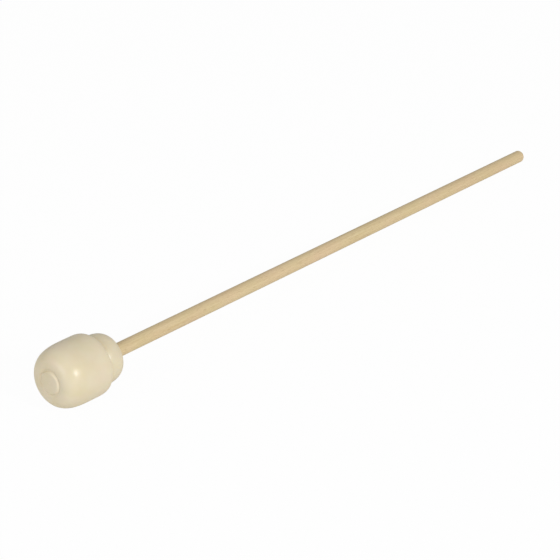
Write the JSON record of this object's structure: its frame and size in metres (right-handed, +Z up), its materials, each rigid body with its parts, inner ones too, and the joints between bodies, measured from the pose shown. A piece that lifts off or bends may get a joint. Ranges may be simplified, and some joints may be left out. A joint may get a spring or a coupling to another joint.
{
  "type": "tubular bell mallet",
  "caption": "Striker for tubular bells: a barrel-shaped ivory nylon head with a groove and collar, glued on a straight round wooden handle.",
  "frame": {"origin": "middle of the foot of the mallet's box, as it lies on its side on a flat surface", "axes": "+X from the head towards the handle's free end, +Z up; the mallet's axis lies in the XZ plane and falls 1.9 degrees towards +X"},
  "size_m": [0.45, 0.036, 0.0362],
  "materials": {
    "head": "natural ivory nylon, turned smooth, satin and slightly waxy",
    "handle": "pale birch dowel, sanded, fine straight grain, unvarnished",
    "glue": "cured clear amber adhesive"
  },
  "bodies": {
    "root": {"mallet_head": "head", "handle_dowel": "handle", "glue_bond": "glue"}
  },
  "joints": []
}
